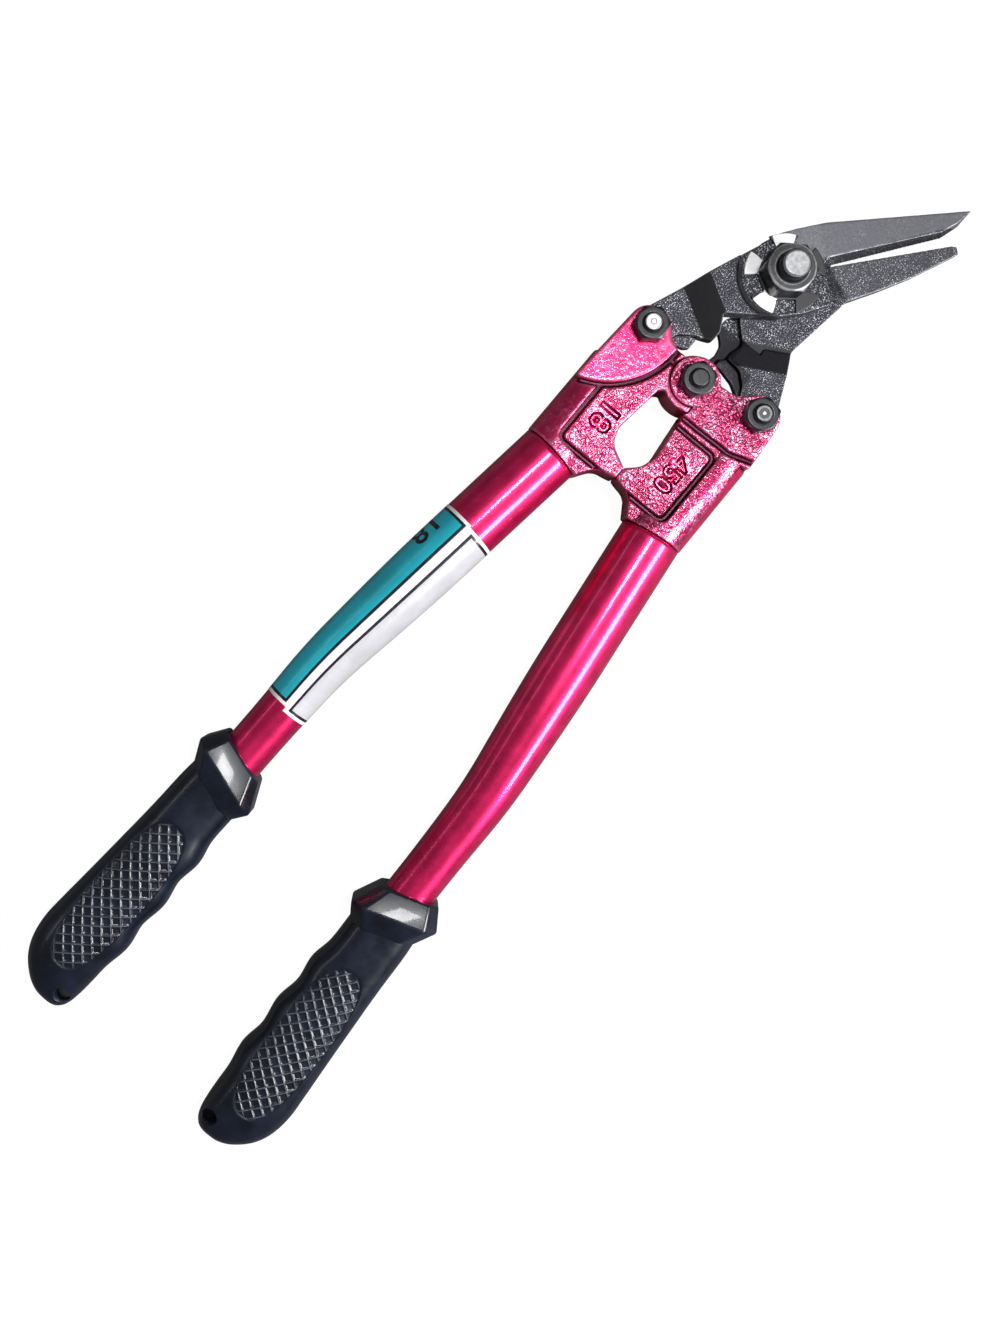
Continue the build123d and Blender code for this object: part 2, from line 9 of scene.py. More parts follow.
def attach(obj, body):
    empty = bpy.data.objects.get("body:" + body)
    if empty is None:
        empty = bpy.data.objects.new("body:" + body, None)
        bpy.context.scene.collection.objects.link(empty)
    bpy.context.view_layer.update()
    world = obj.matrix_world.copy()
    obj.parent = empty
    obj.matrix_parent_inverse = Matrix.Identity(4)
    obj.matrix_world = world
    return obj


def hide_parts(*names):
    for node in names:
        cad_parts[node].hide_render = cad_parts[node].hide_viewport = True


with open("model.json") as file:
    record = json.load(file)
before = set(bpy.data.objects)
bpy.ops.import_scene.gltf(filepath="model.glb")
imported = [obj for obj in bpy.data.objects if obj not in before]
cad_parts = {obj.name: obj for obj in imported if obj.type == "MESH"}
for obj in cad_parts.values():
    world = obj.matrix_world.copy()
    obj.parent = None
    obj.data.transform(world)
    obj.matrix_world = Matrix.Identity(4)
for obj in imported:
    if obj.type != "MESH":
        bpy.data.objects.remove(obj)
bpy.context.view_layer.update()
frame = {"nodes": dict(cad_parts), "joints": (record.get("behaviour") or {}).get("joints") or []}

mm = 0.001
scene = bpy.context.scene
pivots = {joint["name"]: Vector(joint["pos_m"]) for joint in frame["joints"]}
bladePivot = pivots["lower_jaw_swing"]
handlePivot = pivots["handles_open"]
upperJawPivot = pivots["upper_jaw_swing"]
lowerJawPivot = Vector((upperJawPivot.x, -upperJawPivot.y, upperJawPivot.z))


def spot(x, y, z=0.0):  # millimetres from the blade pivot, in the row's metres
    return bladePivot + Vector((x, y, z)) * mm


def fromBlade(co):  # x and y from the blade pivot, in millimetres
    return (co.x - bladePivot.x) / mm, (co.y - bladePivot.y) / mm


def smoothStep(low, high, value):
    share = min(max((value - low) / (high - low), 0.0), 1.0)
    return share * share * (3 - 2 * share)


def curveThrough(table, s):  # smooth values between rows of (s, a, b, ...)
    rows = [table[0]] + list(table) + [table[-1]]
    index = 1
    while index < len(rows) - 3 and s > rows[index + 1][0]:
        index += 1
    before, left, right, after = rows[index - 1], rows[index], rows[index + 1], rows[index + 2]
    span = max(right[0] - left[0], 1e-9)
    t = min(max((s - left[0]) / span, 0.0), 1.0)
    values = []
    for k in range(1, len(left)):
        slopeL = (right[k] - before[k]) / max(right[0] - before[0], 1e-9) * span
        slopeR = (after[k] - left[k]) / max(after[0] - left[0], 1e-9) * span
        values.append(
            (2 * t ** 3 - 3 * t ** 2 + 1) * left[k] + (t ** 3 - 2 * t ** 2 + t) * slopeL
            + (3 * t ** 2 - 2 * t ** 3) * right[k] + (t ** 3 - t ** 2) * slopeR
        )
    return values


def finishMesh(bm, name, smooth=True):
    mesh = bpy.data.meshes.new(name)
    bm.to_mesh(mesh)
    bm.free()
    piece = bpy.data.objects.new(name, mesh)
    scene.collection.objects.link(piece)
    for polygon in mesh.polygons:
        polygon.use_smooth = smooth
    return piece


def relax(bm, rounds):
    for step in range(rounds):
        bmesh.ops.smooth_vert(bm, verts=bm.verts, factor=0.5, use_axis_x=True, use_axis_y=True, use_axis_z=True)


def bakeModifiers(piece):  # the modifiers' result becomes the piece's own mesh
    bpy.context.view_layer.update()
    result = bpy.data.meshes.new_from_object(piece.evaluated_get(bpy.context.evaluated_depsgraph_get()))
    piece.modifiers.clear()
    old = piece.data
    piece.data = result
    bpy.data.meshes.remove(old)
    for polygon in result.polygons:
        polygon.use_smooth = True
    return piece


def cutAway(piece, cutter, selfCrossing=False):
    cut = piece.modifiers.new("cut", "BOOLEAN")
    cut.operation = "DIFFERENCE"
    cut.object = cutter
    cut.solver = "EXACT"
    cut.use_self = selfCrossing
    bakeModifiers(piece)
    bpy.data.objects.remove(cutter)


def dress(piece, body, slot, material, *nodes):
    piece.data.materials.clear()
    piece.data.materials.append(material)
    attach(piece, body)
    if nodes:
        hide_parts(*nodes)
    return piece


def cadCopy(node):  # a merged copy of a CAD node's mesh
    bm = bmesh.new()
    bm.from_mesh(frame["nodes"][node].data)
    bmesh.ops.remove_doubles(bm, verts=bm.verts, dist=1e-6)
    return bm


def lettering(words, size, swell, rounding, thick=0.0, spacing=1.0):  # a mesh of flat or solid characters
    curve = bpy.data.curves.new("lettering", "FONT")
    curve.body = words
    curve.size = size
    curve.space_character = spacing
    curve.extrude = thick / 2
    curve.resolution_u = rounding
    curve.offset = swell
    holder = bpy.data.objects.new("lettering", curve)
    scene.collection.objects.link(holder)
    bpy.context.view_layer.update()
    mesh = bpy.data.meshes.new_from_object(holder.evaluated_get(bpy.context.evaluated_depsgraph_get()))
    bpy.data.objects.remove(holder)
    return mesh


def voxelSkin(piece, voxel, rounds):  # one even skin with slightly rounded edges
    remesh = piece.modifiers.new("skin", "REMESH")
    remesh.mode = "VOXEL"
    remesh.voxel_size = voxel
    bakeModifiers(piece)
    bm = bmesh.new()
    bm.from_mesh(piece.data)
    relax(bm, rounds)
    bm.to_mesh(piece.data)
    bm.free()
    return piece


def turnOver(piece):  # the same piece on the tool's other side
    bm = bmesh.new()
    bm.from_mesh(piece.data)
    bmesh.ops.scale(bm, vec=(1, -1, 1), verts=bm.verts)
    bmesh.ops.recalc_face_normals(bm, faces=bm.faces)
    bm.to_mesh(piece.data)
    bm.free()
    return piece


def newMaterial(name, color, metallic, roughness, **sockets):
    material = bpy.data.materials.new(name)
    material.use_nodes = True
    tree = material.node_tree
    shader = tree.nodes["Principled BSDF"]
    shader.inputs["Base Color"].default_value = (*color, 1)
    shader.inputs["Metallic"].default_value = metallic
    shader.inputs["Roughness"].default_value = roughness
    for socket, value in sockets.items():
        shader.inputs[socket.replace("_", " ")].default_value = value
    return material, tree, shader


def inMillimetres(tree, stretch=(1, 1, 1), turn=0.0):
    coords = tree.nodes.new("ShaderNodeTexCoord")
    mapping = tree.nodes.new("ShaderNodeMapping")
    mapping.inputs["Rotation"].default_value = (0, 0, turn)
    mapping.inputs["Scale"].default_value = [1000 * s for s in stretch]
    tree.links.new(coords.outputs["Object"], mapping.inputs["Vector"])
    return mapping.outputs["Vector"]


def noiseField(tree, vector, size, detail=2.0, rough=0.5, twist=0.0):  # size in millimetres
    node = tree.nodes.new("ShaderNodeTexNoise")
    node.inputs["Scale"].default_value = 1 / size
    node.inputs["Detail"].default_value = detail
    node.inputs["Roughness"].default_value = rough
    node.inputs["Distortion"].default_value = twist
    tree.links.new(vector, node.inputs["Vector"])
    return node.outputs["Fac"]


def crackField(tree, vector, size):  # distance to the cracks between cells
    node = tree.nodes.new("ShaderNodeTexVoronoi")
    node.feature = "DISTANCE_TO_EDGE"
    node.inputs["Scale"].default_value = 1 / size
    tree.links.new(vector, node.inputs["Vector"])
    return node.outputs["Distance"]


def warped(tree, vector, size, amount):  # the vector pushed about by noise, in millimetres
    node = tree.nodes.new("ShaderNodeTexNoise")
    node.inputs["Scale"].default_value = 1 / size
    node.inputs["Detail"].default_value = 2.0
    push = tree.nodes.new("ShaderNodeVectorMath")
    push.operation = "MULTIPLY_ADD"
    push.inputs[1].default_value = (amount, amount, amount)
    tree.links.new(vector, node.inputs["Vector"])
    tree.links.new(node.outputs["Color"], push.inputs[0])
    tree.links.new(vector, push.inputs[2])
    return push.outputs["Vector"]


def ramp(tree, value, *stops):
    node = tree.nodes.new("ShaderNodeValToRGB")
    while len(node.color_ramp.elements) < len(stops):
        node.color_ramp.elements.new(0.5)
    for element, (place, color) in zip(node.color_ramp.elements, stops):
        element.position = place
        element.color = (*color, 1)
    tree.links.new(value, node.inputs["Fac"])
    return node.outputs["Color"]


def spread(tree, value, low, high, toLow=0.0, toHigh=1.0):
    node = tree.nodes.new("ShaderNodeMapRange")
    node.inputs["From Min"].default_value = low
    node.inputs["From Max"].default_value = high
    node.inputs["To Min"].default_value = toLow
    node.inputs["To Max"].default_value = toHigh
    tree.links.new(value, node.inputs["Value"])
    return node.outputs["Result"]


def arith(tree, operation, a, b):
    node = tree.nodes.new("ShaderNodeMath")
    node.operation = operation
    for socket, value in zip(node.inputs, (a, b)):
        if isinstance(value, (int, float)):
            socket.default_value = value
        else:
            tree.links.new(value, socket)
    return node.outputs["Value"]


def blendColors(tree, share, a, b):
    node = tree.nodes.new("ShaderNodeMix")
    node.data_type = "RGBA"
    tree.links.new(share, node.inputs["Factor"])
    for socket, value in ((node.inputs[6], a), (node.inputs[7], b)):
        if isinstance(value, tuple):
            socket.default_value = (*value, 1)
        else:
            tree.links.new(value, socket)
    return node.outputs[2]


def bumpFrom(tree, shader, height, strength, depth):  # depth in millimetres
    node = tree.nodes.new("ShaderNodeBump")
    node.inputs["Strength"].default_value = strength
    node.inputs["Distance"].default_value = depth * mm
    tree.links.new(height, node.inputs["Height"])
    tree.links.new(node.outputs["Normal"], shader.inputs["Normal"])
    tree.links.new(node.outputs["Normal"], shader.inputs["Coat Normal"])


def meshMask(tree, name):
    node = tree.nodes.new("ShaderNodeAttribute")
    node.attribute_name = name
    return node.outputs["Fac"]


def paintMask(piece, name, rule):  # a value for each point of the mesh
    layer = piece.data.attributes.new(name, "FLOAT", "POINT")
    layer.data.foreach_set("value", [rule(v.co) for v in piece.data.vertices])


def paintCavity(piece, rounds):  # positive in hollows, negative on edges, in millimetres
    bm = bmesh.new()
    bm.from_mesh(piece.data)
    relax(bm, rounds)
    bm.verts.ensure_lookup_table()
    depth = [(bm.verts[v.index].co - v.co).dot(v.normal) / mm for v in piece.data.vertices]
    bm.free()
    layer = piece.data.attributes.new("cavity", "FLOAT", "POINT")
    layer.data.foreach_set("value", depth)


enamelLook = {"cells": 1.9, "tubeDark": (0.46, 0.005, 0.070), "tubeLight": (0.72, 0.013, 0.120),
              "castBase": (0.46, 0.008, 0.098), "glint": (0.90, 0.045, 0.21), "paintedSheen": (1.0, 0.48, 0.74),
              "crack": (0.13, 0.001, 0.026), "hollowShade": (0.035, 0.0, 0.010), "edge": (0.95, 0.20, 0.38)}


def crimsonEnamel():
    material, tree, shader = newMaterial(
        "crimson_enamel", (0.72, 0.02, 0.12), 0.72, 0.33, Coat_Weight=0.7, Coat_Roughness=0.08
    )
    place = inMillimetres(tree)
    flake = noiseField(tree, place, 0.45, 2, 0.7)
    cloud = noiseField(tree, place, 7, 3, 0.6)
    hammered = meshMask(tree, "hammered")
    cavity = meshMask(tree, "cavity")
    base = ramp(tree, cloud, (0.3, enamelLook["tubeDark"]), (0.7, enamelLook["tubeLight"]))
    painted = spread(tree, hammered, 0.05, 0.4)
    base = blendColors(tree, painted, base, enamelLook["castBase"])
    glint = spread(tree, flake, 0.52, 0.75, 0.0, 0.35)
    color = blendColors(tree, glint, base, enamelLook["glint"])
    cells = crackField(tree, warped(tree, place, 2.0, 2.6), enamelLook["cells"])
    wrinkles = noiseField(tree, place, 1.5, 3, 0.5, 0.8)
    seams = arith(tree, "MULTIPLY", spread(tree, cells, 0.11, 0.02), painted)
    # painted highlight: a whitish sheen in patches on the hammered paint
    sheenPatches = spread(tree, noiseField(tree, place, 8.0, 3, 0.6), 0.47, 0.60, 0.05, 0.55)
    paintedSheen = arith(tree, "MULTIPLY", sheenPatches, painted)
    paintedSheen = arith(tree, "MULTIPLY", paintedSheen, spread(tree, wrinkles, 0.42, 0.55))
    color = blendColors(tree, paintedSheen, color, enamelLook["paintedSheen"])
    color = blendColors(tree, arith(tree, "MULTIPLY", seams, 0.9), color, enamelLook["crack"])
    # painted shade: darker in hollows, in grooves and round the digits
    color = blendColors(tree, spread(tree, cavity, 0.02, 0.2), color, enamelLook["hollowShade"])
    dulled = spread(tree, cavity, 0.04, 0.2, 1.0, 0.04)  # little coat in hollows
    gloss = arith(tree, "MULTIPLY", dulled, spread(tree, painted, 0.0, 1.0, 0.36, 0.8))
    tree.links.new(gloss, shader.inputs["Coat Weight"])
    # painted highlight along convex edges
    color = blendColors(tree, spread(tree, cavity, -0.08, -0.35, 0.0, 0.5), color, enamelLook["edge"])
    tree.links.new(color, shader.inputs["Base Color"])
    rounded = arith(tree, "ADD", arith(tree, "MINIMUM", cells, 0.3), arith(tree, "MULTIPLY", wrinkles, 0.35))
    relief = arith(tree, "MULTIPLY", rounded, hammered)
    fine = arith(tree, "MULTIPLY", noiseField(tree, place, 4.0, 2, 0.5), 0.03)
    bumpFrom(tree, shader, arith(tree, "ADD", relief, fine), 0.75, 0.7)
    return material


gripLook = {"dark": (0.003, 0.004, 0.008), "blue": (0.006, 0.010, 0.024), "lines": (0.085, 0.093, 0.115)}


def gripPlastic():
    material, tree, shader = newMaterial("grip_plastic", (0.006, 0.008, 0.016), 0.0, 0.3, Coat_Weight=0.2)
    place = inMillimetres(tree)
    cloud = noiseField(tree, place, 12, 3, 0.6)
    fine = noiseField(tree, place, 0.25, 2, 0.6)
    tint = ramp(tree, cloud, (0.3, gripLook["dark"]), (0.7, gripLook["blue"]))
    nearest = arith(tree, "MINIMUM", arith(tree, "PINGPONG", meshMask(tree, "latticeA"), 0.5),
                    arith(tree, "PINGPONG", meshMask(tree, "latticeB"), 0.5))
    lines = spread(tree, nearest, 0.10, 0.035)
    lines = arith(tree, "MULTIPLY", lines, spread(tree, meshMask(tree, "panel"), 0.02, 0.06))
    # painted highlight on the lattice ridges, in patches
    ridgeSheenPatches = spread(tree, noiseField(tree, place, 6, 3, 0.6), 0.35, 0.6, 0.45, 1.0)
    paler = arith(tree, "MULTIPLY", lines, ridgeSheenPatches)
    tree.links.new(blendColors(tree, paler, tint, gripLook["lines"]), shader.inputs["Base Color"])
    tree.links.new(spread(tree, cloud, 0.3, 0.7, 0.24, 0.38), shader.inputs["Roughness"])
    height = arith(tree, "ADD", arith(tree, "MULTIPLY", fine, 0.03), lines)
    bumpFrom(tree, shader, height, 0.45, 0.2)
    return material


steelLook = {"brushedTurn": -37.0, "deep": (0.008, 0.008, 0.013), "scale": (0.022, 0.023, 0.032),
             "paler": (0.075, 0.077, 0.095), "sparkle": (0.85, 0.86, 0.92), "groundDark": (0.115, 0.117, 0.132),
             "groundLight": (0.19, 0.193, 0.215), "groundSparkle": (0.50, 0.50, 0.54),
             "plain": (0.020, 0.020, 0.024), "hollowShade": (0.004, 0.004, 0.006), "edge": (0.22, 0.22, 0.25),
             "shade": (0.003, 0.003, 0.006)}


def forgedSteel():
    material, tree, shader = newMaterial("forged_steel", (0.04, 0.04, 0.046), 0.6, 0.40)
    place = inMillimetres(tree)
    heading = math.radians(steelLook["brushedTurn"])
    brushed = noiseField(tree, inMillimetres(tree, (0.4, 1.2, 1.0), -heading), 0.5, 3, 0.7)
    grain = noiseField(tree, place, 0.5, 3, 0.75)
    patch = noiseField(tree, place, 5.0, 2, 0.5)
    sparkle = spread(tree, noiseField(tree, place, 0.5, 2, 0.6), 0.57, 0.66)
    sparkle = arith(tree, "MULTIPLY", sparkle, spread(tree, patch, 0.35, 0.65, 0.25, 1.0))
    ground = meshMask(tree, "ground")
    cavity = meshMask(tree, "cavity")
    forged = ramp(tree, grain, (0.3, steelLook["deep"]), (0.55, steelLook["scale"]), (0.75, steelLook["paler"]))
    forged = blendColors(tree, sparkle, forged, steelLook["sparkle"])
    blade = ramp(tree, brushed, (0.3, steelLook["groundDark"]), (0.7, steelLook["groundLight"]))
    blade = blendColors(tree, arith(tree, "MULTIPLY", sparkle, 0.35), blade, steelLook["groundSparkle"])
    smooth = meshMask(tree, "smoothShadedBand")
    color = blendColors(tree, ground, forged, blade)
    # the ramp bands: smooth, unspeckled finish darkened as painted shade; the upper bevel is painted shade
    color = blendColors(tree, smooth, color, steelLook["plain"])
    # painted shade in the jaws' hollows
    color = blendColors(tree, spread(tree, cavity, 0.03, 0.2, 0.0, 0.85), color, steelLook["hollowShade"])
    # lighter edges: partly wear, partly painted highlight
    color = blendColors(tree, spread(tree, cavity, -0.03, -0.16, 0.0, 0.3), color, steelLook["edge"])
    color = blendColors(tree, meshMask(tree, "shade"), color, steelLook["shade"])
    tree.links.new(color, shader.inputs["Base Color"])
    height = arith(tree, "MULTIPLY", grain, arith(tree, "SUBTRACT", 1.0, ground))
    height = arith(tree, "ADD", height, arith(tree, "MULTIPLY", brushed, arith(tree, "MULTIPLY", ground, 0.15)))
    bumpFrom(tree, shader, height, 0.8, 0.12)
    return material


def blackOxide():
    material, tree, shader = newMaterial("black_oxide", (0.010, 0.010, 0.012), 0.3, 0.4, Coat_Weight=0.05)
    place = inMillimetres(tree)
    cloud = noiseField(tree, place, 1.4, 4, 0.6)
    tint = ramp(tree, cloud, (0.35, (0.003, 0.003, 0.005)), (0.7, (0.011, 0.012, 0.017)))
    # lighter edges: partly wear, partly painted highlight
    paler = spread(tree, meshMask(tree, "cavity"), -0.015, -0.08, 0.0, 0.6)
    color = blendColors(tree, paler, tint, (0.13, 0.135, 0.155))
    # bare steel on the bolt ends and painted highlights, mottled, where the 'bright' mask marks them
    bright = meshMask(tree, "bright")
    mottle = spread(tree, noiseField(tree, place, 1.8, 3, 0.7), 0.3, 0.6, 0.55, 1.0)
    bareAndHighlit = arith(tree, "MULTIPLY", bright, mottle)
    tree.links.new(blendColors(tree, bareAndHighlit, color, (0.75, 0.76, 0.78)), shader.inputs["Base Color"])
    tree.links.new(spread(tree, cloud, 0.3, 0.7, 0.28, 0.45), shader.inputs["Roughness"])
    bumpFrom(tree, shader, noiseField(tree, place, 0.5, 3, 0.6), 0.4, 0.05)
    return material


def brightZinc():
    material, tree, shader = newMaterial("bright_zinc", (0.86, 0.86, 0.88), 0.15, 0.45)
    place = inMillimetres(tree)
    cloud = noiseField(tree, place, 2.0, 4, 0.6)
    clean = ramp(tree, cloud, (0.35, (0.88, 0.88, 0.90)), (0.7, (1.0, 1.0, 1.0)))
    # painted shade: the washers are near-black except where the 'bright' mask marks the tabs
    color = blendColors(tree, meshMask(tree, "bright"), (0.03, 0.03, 0.034), clean)
    tree.links.new(color, shader.inputs["Base Color"])
    bumpFrom(tree, shader, noiseField(tree, place, 0.6, 3, 0.6), 0.3, 0.04)
    return material


def labelFilm(name, inside, length, seam):  # a white rim, a black line, then the print
    material, tree, shader = newMaterial(name, inside, 0.0, 0.34, Coat_Weight=0.25)
    uv = tree.nodes.new("ShaderNodeUVMap")
    split = tree.nodes.new("ShaderNodeSeparateXYZ")
    tree.links.new(uv.outputs["UV"], split.inputs["Vector"])
    fromStart = arith(tree, "MULTIPLY", split.outputs["X"], length)
    toEnd = arith(tree, "SUBTRACT", length, fromStart)
    fromSeam = arith(tree, "SUBTRACT", arith(tree, "MULTIPLY", split.outputs["Y"], labelLook["width"]), seam)
    fromSeam = arith(tree, "ADD", fromSeam, labelLook["rim"])
    near = arith(tree, "MINIMUM", arith(tree, "MINIMUM", fromStart, toEnd), fromSeam)
    inked = arith(tree, "GREATER_THAN", near, labelLook["rim"])
    printed = arith(tree, "GREATER_THAN", near, labelLook["rim"] + labelLook["line"])
    cloud = noiseField(tree, inMillimetres(tree), 14, 3, 0.6)
    tint = tuple(0.82 * c for c in inside)
    body = ramp(tree, cloud, (0.3, tint), (0.7, inside))
    color = blendColors(tree, inked, labelLook["paper"], labelLook["ink"])
    tree.links.new(blendColors(tree, printed, color, body), shader.inputs["Base Color"])
    crease = spread(tree, noiseField(tree, inMillimetres(tree), 7, 3, 0.55), 0.45, 0.6)
    bumpFrom(tree, shader, crease, 0.35, 0.15)
    return material


labelLook = {"rim": 1.4, "line": 1.2, "width": 20.0, "paper": (0.74, 0.74, 0.74), "ink": (0.004, 0.004, 0.010),
             "teal": (0.012, 0.40, 0.50), "white": (0.50, 0.50, 0.53)}
enamel = crimsonEnamel()
plastic = gripPlastic()
steel = forgedSteel()
oxide = blackOxide()
zinc = brightZinc()
print("finishes ready")


handleLine = {"collar": (-58.5, 26.8), "splay": 7.35, "bend": 5.9, "bendAt": 126.0, "bendRadius": 260.0,
              "wide": 13.0, "slim": 10.0, "swage": 58.0, "swageEnd": 170.0, "length": 288.0}


def bendLimits():
    turn = math.radians(handleLine["bend"])
    start = handleLine["bendAt"] - handleLine["bendRadius"] * math.tan(turn / 2)
    return start, start + handleLine["bendRadius"] * turn


def station(distance):  # point on the upper tube's line, the outward side and the way along it
    start, end = bendLimits()
    radius = handleLine["bendRadius"]
    first = math.radians(180 - handleLine["splay"])
    heading = first + min(max(distance - start, 0), end - start) / radius
    x, y = handleLine["collar"]
    x += math.cos(first) * min(distance, start) + radius * (math.sin(heading) - math.sin(first))
    y += math.sin(first) * min(distance, start) + radius * (math.cos(first) - math.cos(heading))
    x += math.cos(heading) * max(distance - end, 0)
    y += math.sin(heading) * max(distance - end, 0)
    outward = Vector((math.sin(heading), -math.cos(heading), 0))
    return handlePivot + Vector((x, y, 0)) * mm, outward, Vector((math.cos(heading), math.sin(heading), 0))


def tubeRadius(distance):
    share = smoothStep(handleLine["swage"], handleLine["swageEnd"], distance)
    return handleLine["wide"] + (handleLine["slim"] - handleLine["wide"]) * share


def skinGrid(along, around, place, closed=True):  # a grid laid on a surface by place(u, v)
    bm = bmesh.new()
    bm.loops.layers.uv.new("UVMap")
    bmesh.ops.create_grid(bm, x_segments=along, y_segments=around, size=0.5, calc_uvs=True)
    for v in bm.verts:
        v.co = place(v.co.x + 0.5, v.co.y + 0.5)
    if closed:
        bmesh.ops.remove_doubles(bm, verts=bm.verts, dist=1e-7)
    return bm


up = Vector((0, 0, 1))


tubeMake = {"steps": 160, "around": 72, "wall": 1.6, "start": 0.5}


def handleTube(name):
    length = handleLine["length"] - tubeMake["start"]

    def place(u, v):
        distance = tubeMake["start"] + length * u
        point, outward, along = station(distance)
        turn = 2 * math.pi * v
        radius = tubeRadius(distance) * mm
        return point + outward * radius * math.cos(turn) + up * radius * math.sin(turn)

    bm = skinGrid(tubeMake["steps"], tubeMake["around"], place)
    bmesh.ops.recalc_face_normals(bm, faces=bm.faces)
    bmesh.ops.solidify(bm, geom=bm.faces[:], thickness=tubeMake["wall"] * mm)
    bmesh.ops.recalc_face_normals(bm, faces=bm.faces)
    tube = finishMesh(bm, name)
    paintMask(tube, "hammered", lambda co: 0.03)
    return tube


dress(handleTube("tube_upper"), "upper_handle", "tube", enamel, "handle_tube_upper")
dress(turnOver(handleTube("tube_lower")), "lower_handle", "tube", enamel, "handle_tube_lower")
print("tubes ready")


castingMake = {"voxel": 0.42, "rounds": 3, "waves": 0.2, "wavePitch": 2.0, "cavityRounds": 34,
               "top": 8.5, "depth": 1.0, "outline": 0.8, "raisedSwell": -0.22, "raisedDrop": 0.15,
               "grooveFloor": (6.9, 7.9), "earMiddle": (-52.5, 49.0), "earRadius": 35.0}


def digitBlock(words, box, swell, low, high):  # solid digits, turned round, that fill a box
    mesh = lettering(words, 10 * mm, swell * mm, 3, (high - low) * mm, 1.12)
    bm = bmesh.new()
    bm.from_mesh(mesh)
    bpy.data.meshes.remove(mesh)
    bmesh.ops.remove_doubles(bm, verts=bm.verts, dist=1e-6)
    xs = [v.co.x for v in bm.verts]
    ys = [v.co.y for v in bm.verts]
    left, right, bottom, top = box
    wide = (right - left + 2 * swell) * mm / (max(xs) - min(xs))
    tall = (top - bottom + 2 * swell) * mm / (max(ys) - min(ys))
    middle = Vector(((max(xs) + min(xs)) / 2, (max(ys) + min(ys)) / 2, 0))
    for v in bm.verts:
        v.co = Vector((-(v.co.x - middle.x) * wide, -(v.co.y - middle.y) * tall, v.co.z))
    centre = spot((left + right) / 2, (bottom + top) / 2, (low + high) / 2)
    bmesh.ops.translate(bm, vec=centre, verts=bm.verts)
    bmesh.ops.recalc_face_normals(bm, faces=bm.faces)
    return finishMesh(bm, "digits_" + words, False)


def headCasting(name, node, words, box, relief):
    casting = finishMesh(cadCopy(node), name)
    voxelSkin(casting, castingMake["voxel"] * mm, castingMake["rounds"])
    paintMask(casting, "hammered", relief)
    strength = casting.data.attributes["hammered"].data
    normals = [v.normal.copy() for v in casting.data.vertices]
    for index, v in enumerate(casting.data.vertices):
        amount = strength[index].value
        if amount > 0.01:
            cell = noise.voronoi(v.co * (1000 / castingMake["wavePitch"]))[0][0]
            v.co += normals[index] * (amount * castingMake["waves"] * mm * (min(cell, 0.8) - 0.5))
    paintCavity(casting, castingMake["cavityRounds"])
    hollowShade = casting.data.attributes["cavity"].data
    floorLow, floorHigh = castingMake["grooveFloor"]
    # painted shade on the grooves' floors, which count as hollows
    for index, v in enumerate(casting.data.vertices):
        height = abs(v.co.z - bladePivot.z) / mm
        if abs(v.normal.z) > 0.8 and floorLow < height < floorHigh:  # the grooves' floors count as hollows
            hollowShade[index].value = max(hollowShade[index].value, 0.5)
    top, depth = castingMake["top"], castingMake["depth"]
    cutter = digitBlock(words, box, castingMake["outline"], top - depth, top + 3)
    paintMask(cutter, "hammered", lambda co: 0.0)
    # painted shade: the digits' cut walls and floor take the darkest hollow colour
    paintMask(cutter, "cavity", lambda co: 2.0)
    cutAway(casting, cutter, True)
    raised = digitBlock(words, box, castingMake["raisedSwell"], top - depth - 0.8, top - castingMake["raisedDrop"])
    paintMask(raised, "hammered", lambda co: 0.1)
    # painted shade on the raised digits' sides; their tops stay nearly plain
    paintMask(raised, "cavity", lambda co: 0.06 if co.z > bladePivot.z + (top - 0.3) * mm else 2.0)
    bm = bmesh.new()
    bm.from_mesh(casting.data)
    bm.from_mesh(raised.data)
    bm.to_mesh(casting.data)
    bm.free()
    bpy.data.objects.remove(raised)
    print(name, len(casting.data.polygons), "faces")
    return casting


def faceUp(co):  # how far a point is on the flat top or bottom of a casting
    height = abs(co.z - bladePivot.z) / mm
    return smoothStep(7.2, 8.3, height)


def aroundDigits(co, box):  # calmer paint round the digits
    x, y = fromBlade(co)
    left, right, bottom, top = box
    out = math.hypot(max(left - x, x - right, 0.0), max(bottom - y, y - top, 0.0))
    return 0.4 + 0.6 * smoothStep(0.8, 2.2, out)


def reliefUpper(co):
    x, y = fromBlade(co)
    earX, earY = castingMake["earMiddle"]
    rim = castingMake["earRadius"]
    ear = 1 - smoothStep(rim - 0.5, rim + 0.5, math.hypot(x - earX, y - earY))
    bar = smoothStep(28.0, 29.5, y)
    return faceUp(co) * (0.55 - 0.40 * max(ear, bar)) * aroundDigits(co, upperDigits)


def reliefLower(co):
    x, y = fromBlade(co)
    bar = smoothStep(26.0, 28.0, -y) * (1 - smoothStep(-75.0, -72.0, x))
    return faceUp(co) * aroundDigits(co, lowerDigits) * (1 - 0.55 * bar)


upperDigits = (-97.0, -87.4, 14.9, 23.4)
lowerDigits = (-99.7, -84.3, -20.1, -12.8)
castingUpper = headCasting("casting_upper", "handle_casting_upper", "18", upperDigits, reliefUpper)
dress(castingUpper, "upper_handle", "casting", enamel, "handle_casting_upper")
castingLower = headCasting("casting_lower", "handle_casting_lower", "450", lowerDigits, reliefLower)
dress(castingLower, "lower_handle", "casting", enamel, "handle_casting_lower")
print("castings ready")


